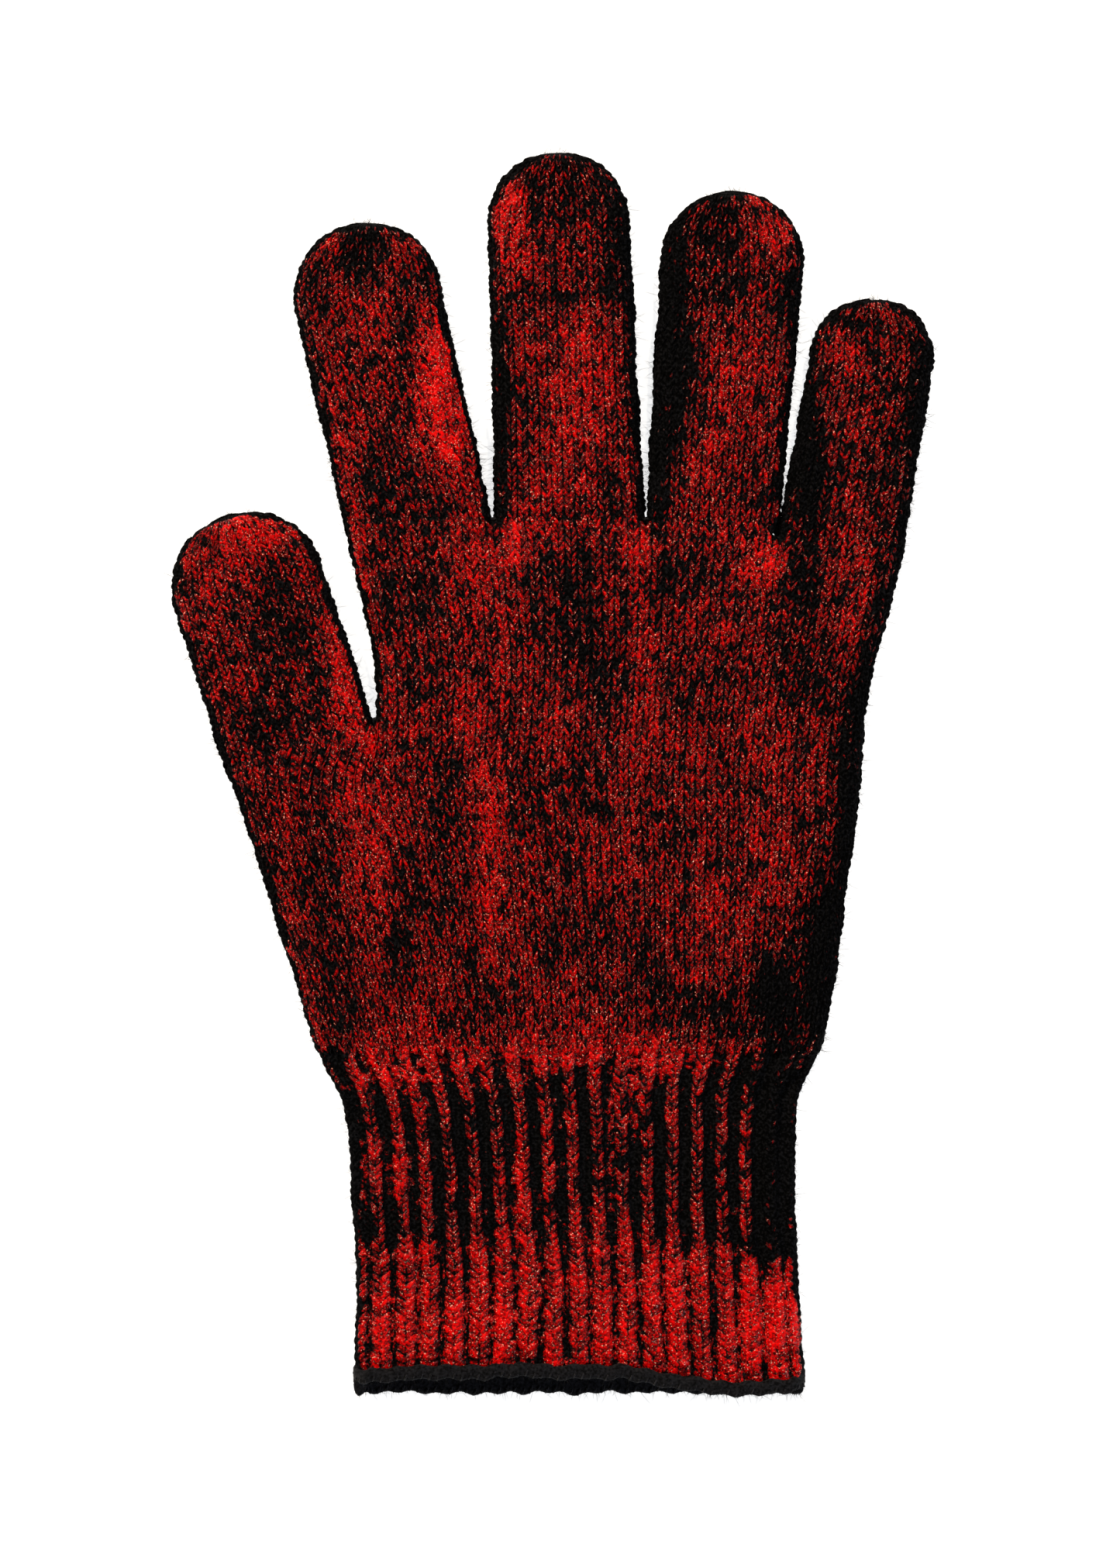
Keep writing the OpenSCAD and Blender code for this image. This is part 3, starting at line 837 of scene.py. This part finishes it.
def cuffFace(side, seed):
    # one face of the rib: each rib takes the share duty of its pitch, the sunken gap the rest
    pick = np.random.default_rng(seed)
    perRib = cuffSet["ribStrips"] + cuffSet["gapStrips"]
    column = np.arange(cuffSet["ribs"] * perRib + 1)
    rib, step = column // perRib, column % perRib
    inRib = step < cuffSet["ribStrips"]
    within = np.where(inRib, np.append(strips, 1)[np.minimum(step, 8)],
                      (step - cuffSet["ribStrips"]) / cuffSet["gapStrips"])
    rows = int(round((cuffSet["top"] - cuffSet["foot"]) / cuffSet["course"]))
    v1 = courseRows(0, rows)
    start = pick.uniform(wristY - 2.5, wristY + 4, cuffSet["ribs"] + 1)
    rib, v = np.meshgrid(rib, v1)
    inRib, within = np.broadcast_to(inRib, v.shape), np.broadcast_to(within, v.shape)
    foot = cuffSet["foot"] + (mouthDrop((rib + within) / cuffSet["ribs"]) if side > 0 else 0)
    yFlat = foot + v * (cuffSet["top"] - foot) / rows
    inBand = smooth(cuffSet["bandTop"] + 2, cuffSet["bandTop"] - 6, yFlat)
    duty = cuffSet["duty"] + (cuffSet["bandDuty"] - cuffSet["duty"]) * inBand
    inside = np.where(inRib, within * duty, duty + within * (1 - duty))
    # the gap at the left silhouette is split between the two faces
    share = (rib + inside + (1 - duty) / 2) / cuffSet["ribs"]
    share = np.clip(share, 0, 1)
    a = np.where(inRib, np.abs(2 * within - 1), 1 - 0.4 * np.sin(np.pi * within))
    edgeFade = smooth(0, 2, v) * smooth(rows, rows - 2, v)
    y = yFlat + cuffSet["course"] * 0.9 * a * edgeFade
    x = arcSpread(share, throughPoints(handLeft, y), throughPoints(handRight, y))
    x, y = layLoose(x, y, 0.8)
    height, reached = cuffHeights(within, inRib, v, y, start[rib])
    height = height * (1 - 0.8 * smooth(foot + 1.8, foot, yFlat))
    room = cuffSet["lift"] + cuffSet["relief"]
    tuck = 0.3 * smooth(wristY - 0.5, wristY + 2, y)
    base, normal, d = pouch(x, y, side, room, None, tuck)
    chance = stitchChance(rib * 2 + within, v, seed)
    level = paintSet["rib"] + paintSet["band"] * smooth(paintSet["bandTop"] + 3, paintSet["bandTop"] - 5, y)
    cover = paintCover(base, d, normal, chance, level)
    height = height * (1 + 0.12 * chance)
    height = np.clip(room * crusted(height / room, cover - 0.1, x, y), 0, room * 1.08)
    outer = base + normal * height[..., None]
    fields = dict(height=reached * (1 + 0.3 * chance) + 0.15 * crust[1](x, y), cover=cover)
    parts = [skinParts(outer, base, normal, fields, False, flip=side < 0, liningRows=30)]
    return parts + rimFibres(outer, normal, d, 220, seed)


for side, face, seed in ((1, "front", 41), (-1, "back", 43)):
    cuffPiece = makePiece("cuff_rib_" + face, cuffFace(side, seed), paintedRib)
    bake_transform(cuffPiece)
    if side > 0:
        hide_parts("cuff_rib")
print("cuff knitted")


# the mouth: a turned hem, a whipped thread along its edge
hemSet = dict(columns=532, round=24, thick=0.85, middleFront=-107.1, tallFront=1.3,
              middleBack=-108.5, tallBack=3.4, sink=0.15)


def mouthPath(share, side, y, sink):
    # the loop of the cuff at one height, sunk by a little along its normal
    left, right = throughPoints(handLeft, y), throughPoints(handRight, y)
    x = arcSpread(share, left, right)
    own = np.minimum(x - left, right - x)
    r = gloveThick / 2 - knit["floorGap"] - hemSet["thick"]
    slope = np.clip(1 - own / r, 0, 1)
    rise = np.sqrt(1 - slope**2)
    towards = np.sign(x - (left + right) / 2)
    normal = np.stack([towards * slope, 0 * x, side * rise], -1)
    z = gloveThick / 2 + side * (r * rise)
    centre = np.stack([x - towards * slope * hemSet["thick"] * 0.8, y, z], -1)
    return centre - normal * sink, normal


def loopShare(count):
    s = np.arange(count) * 2 / count
    return np.where(s <= 1, s, 2 - s), np.where(s <= 1, 1.0, -1.0), s


def makeHem():
    # a closed ring of oval section: normal * thick cos(turn) + along * tall sin(turn), ribbed and wavy
    share, side, s = loopShare(hemSet["columns"])
    turn = np.arange(hemSet["round"]) * 2 * np.pi / hemSet["round"]
    back = smooth(0.15, -0.15, side * np.sin(np.pi * share) ** 0.3)
    wave = 0.45 * np.sin(2 * np.pi * s * cuffSet["ribs"]) + 0.6 * sway[0](60 * s, 0 * s) + 0.5 * sway[2](60 * s, 0 * s)
    tilt = mouthDrop(share)
    y = hemSet["middleFront"] + (hemSet["middleBack"] - hemSet["middleFront"]) * back + wave * 0.5 + tilt * (1 - back)
    tall = hemSet["tallFront"] + (hemSet["tallBack"] - hemSet["tallFront"]) * back
    centre, normal = mouthPath(share, side, y, hemSet["sink"])
    groove = 1 + 0.16 * np.cos(2 * np.pi * s * cuffSet["ribs"])[None, :] + 0.06 * np.sin(5 * turn)[:, None]
    stitches = 0.26 * np.sin(2 * np.pi * s * cuffSet["ribs"] * 2)[None, :] * np.sin(9 * turn)[:, None]
    out = hemSet["thick"] * (groove + stitches) * np.cos(turn)[:, None]
    along = tall * np.sin(turn)[:, None]
    points = centre[None] + out[..., None] * normal[None] + along[..., None] * np.array([0, 1.0, 0])
    index = np.arange(points.shape[0] * points.shape[1]).reshape(points.shape[:2])
    index = np.concatenate([index, index[:, :1]], 1)
    index = np.concatenate([index, index[:1]], 0)
    total = points.shape[0] * points.shape[1]
    ring = dict(points=points.reshape(-1, 3), quads=gridQuads(index)[:, ::-1], triangles=np.zeros((0, 3), int),
                flat=np.zeros(0, bool), height=np.full(total, 0.5), cover=np.full(total, -1.0))
    low = points[..., 1] < centre[None, :, 1] - 0.5 * tall[None]
    away = np.broadcast_to(normal[None] * 0.3 + np.array([0, -1.0, 0]), points.shape)
    hairs = fibres(points[low], away[low], 900, 77, long=(0.4, 1.3))
    return [ring, hairs], y - tall, s


hemParts, hemFoot, hemLoop = makeHem()
hemPiece = makePiece("cuff_hem_knit", hemParts, blackYarn)
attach(hemPiece, "cuff")
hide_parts("cuff_hem")
print("hem turned")

threadSet = dict(loops=118, perLoop=12, thick=0.15, reach=0.75, tall=0.7)


def makeThread():
    # whipped round the edge: centre + normal reach cos(turn) + along tall sin(turn), a turn every 1.5 mm
    count = threadSet["loops"] * threadSet["perLoop"]
    share, side, s = loopShare(count)
    foot = np.interp(s, np.append(hemLoop, 2), np.append(hemFoot, hemFoot[0]))
    turn = 2 * np.pi * np.arange(count) / threadSet["perLoop"]
    centre, normal = mouthPath(share, side, foot + 0.75, hemSet["sink"])
    path = centre + (threadSet["reach"] * np.cos(turn))[:, None] * normal
    path[:, 1] += threadSet["tall"] * np.sin(turn)
    reference = np.roll(centre, -1, 0) - np.roll(centre, 1, 0)
    return [yarnTube(path, reference, threadSet["thick"], 5, loop=True)]


threadPiece = makePiece("overlock_whipping", makeThread(), greyFuzz)
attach(threadPiece, "cuff")
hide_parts("overlock_thread")

elasticBox = [np.array(corner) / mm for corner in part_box("elastic_threads")]
elasticSet = dict(rounds=8, samples=240, thick=0.36, inside=1.35)


def makeElastic():
    # rounds of covered elastic behind the ribs, evenly spaced, each wavering by a quarter millimetre
    parts = []
    for y in np.linspace(elasticBox[0][1] + 0.5, elasticBox[1][1] - 0.5, elasticSet["rounds"]):
        share, side, s = loopShare(elasticSet["samples"])
        waver = y + 0.25 * np.sin(2 * np.pi * s * 7 + y)
        centre, normal = mouthPath(share, side, waver, elasticSet["inside"] + cuffSet["lift"])
        parts.append(yarnTube(centre, np.array([0, 1.0, 0]), elasticSet["thick"], 6, loop=True))
    return parts


elasticPiece = makePiece("elastic_rounds", makeElastic(), blackYarn)
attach(elasticPiece, "cuff")
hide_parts("elastic_threads")
print("thread and elastic laid")


tackSet = dict(across=(-10.4, 16.9, 40.6), below=1.2, lean=(0, 0.6, 0.8), long=3.2, thick=0.28, turns=6, reach=0.55)


def makeTack(x, y):
    # a bar tack: close turns of yarn about a short line, centre + axis (t - 1/2) long + reach (cos, sin)
    axis = np.array(tackSet["lean"]) / np.linalg.norm(tackSet["lean"])
    first = np.cross(axis, [0, 0, 1.0])
    t = np.linspace(0, 1, tackSet["turns"] * 10)
    turn = 2 * np.pi * tackSet["turns"] * t
    centre = np.array([x, y - tackSet["below"], gloveThick / 2])
    path = (centre + np.outer((t - 0.5) * tackSet["long"], axis) + np.outer(tackSet["reach"] * np.cos(turn), first)
            + np.outer(tackSet["reach"] * np.sin(turn), [0, 0, 1.0]))
    return yarnTube(path, np.broadcast_to(axis, path.shape), tackSet["thick"])


crotches = list(zip(tackSet["across"], (knuckleY, knuckleY, littleKnuckleY))) + [tuple(thumbNotch)]
tackPiece = makePiece("crotch_tacks", [makeTack(x, y) for x, y in crotches], blackYarn)
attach(tackPiece, "hand")
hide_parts("crotch_stitches")

# the drawn row inside each tip: a flat wavy loop of yarn, (wide cos t, wave cos 9t, tall sin t)
drawnSet = dict(wide=2.2, wave=0.35, tall=0.55, thick=0.22, below=2.6)
tipPlaces = {name: (fingerMiddle(name, fingerFrame(name)[2]), fingerFrame(name)[2] - drawnSet["below"], 0.0)
             for name in fingerShapes}
tipPlaces["thumb"] = (*fromThumb(thumbShape["middle"], thumbShape["tipRise"] - drawnSet["below"]), thumbTilt)
for name, (x, y, tilt) in tipPlaces.items():
    t = np.arange(60) * 2 * np.pi / 60
    ring = np.stack([drawnSet["wide"] * np.cos(t), drawnSet["wave"] * np.cos(9 * t), drawnSet["tall"] * np.sin(t)], 1)
    c, s = np.cos(tilt), np.sin(tilt)
    ring = np.stack([x + c * ring[:, 0] - s * ring[:, 1], y + s * ring[:, 0] + c * ring[:, 1],
                     gloveThick / 2 + ring[:, 2]], 1)
    row = yarnTube(ring, np.array([-s, c, 0.0]), drawnSet["thick"], loop=True)
    seamPiece = makePiece(name + "_drawn_row", [row], blackYarn)
    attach(seamPiece, name + "_end")
    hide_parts(name + "_tip_seam")
print("stitches closed")


# soft light from a faint white room, a small key light and two small lights for glints
lightSet = dict(world=0.1, side=6.5, glint=6.0, key=20.0, floor=0.9)


def addFloor():
    # a plain white sheet under the glove, which also glows so that it stays white
    mesh = bpy.data.meshes.new("floor")
    reach = 2.5
    corners = [(-reach, -reach, 0), (reach, -reach, 0), (reach, reach, 0), (-reach, reach, 0)]
    mesh.from_pydata(corners, [], [(0, 1, 2, 3)])
    floor = bpy.data.objects.new("floor", mesh)
    bpy.context.scene.collection.objects.link(floor)
    material, tree, shader = newMaterial("white backdrop")
    shader.inputs["Base Color"].default_value = linear("#b4b4b4")
    shader.inputs["Roughness"].default_value = 0.95
    shader.inputs["Emission Color"].default_value = (1, 1, 1, 1)
    shader.inputs["Emission Strength"].default_value = lightSet["floor"]
    mesh.materials.append(material)


def addLight(name, spot, size, power, tint):
    # an area light that looks at the glove
    data = bpy.data.lights.new(name, "AREA")
    data.shape = "DISK"
    data.size, data.energy, data.color = size, power, linear(tint)[:3]
    light = bpy.data.objects.new(name, data)
    light.location = spot
    light.rotation_euler = (-Vector(spot)).to_track_quat("-Z", "Y").to_euler()
    bpy.context.scene.collection.objects.link(light)


addFloor()
addLight("sideLight", (1.1, -0.5, 0.75), 0.2, lightSet["side"], "#eef4ff")
addLight("glintLight", (0.25, 0.75, 1.2), 0.05, lightSet["glint"], "#fff0d8")
addLight("keyLight", (-0.7, 0.9, 0.9), 0.14, lightSet["key"], "#fff0da")
world = bpy.data.worlds.new("studio")
bpy.context.scene.world = world
world.use_nodes = True
world.node_tree.nodes["Background"].inputs["Color"].default_value = linear("#ffffff")
# the camera sees a white room, while the glove is lit by it only faintly
seen = addNode(world.node_tree, "LightPath", out="Is Camera Ray")
strength = addNode(world.node_tree, "MapRange", {"Value": seen, "To Min": lightSet["world"], "To Max": 1.0})
world.node_tree.links.new(strength, world.node_tree.nodes["Background"].inputs["Strength"])
bpy.context.scene.view_settings.view_transform = "Standard"
print("lit")
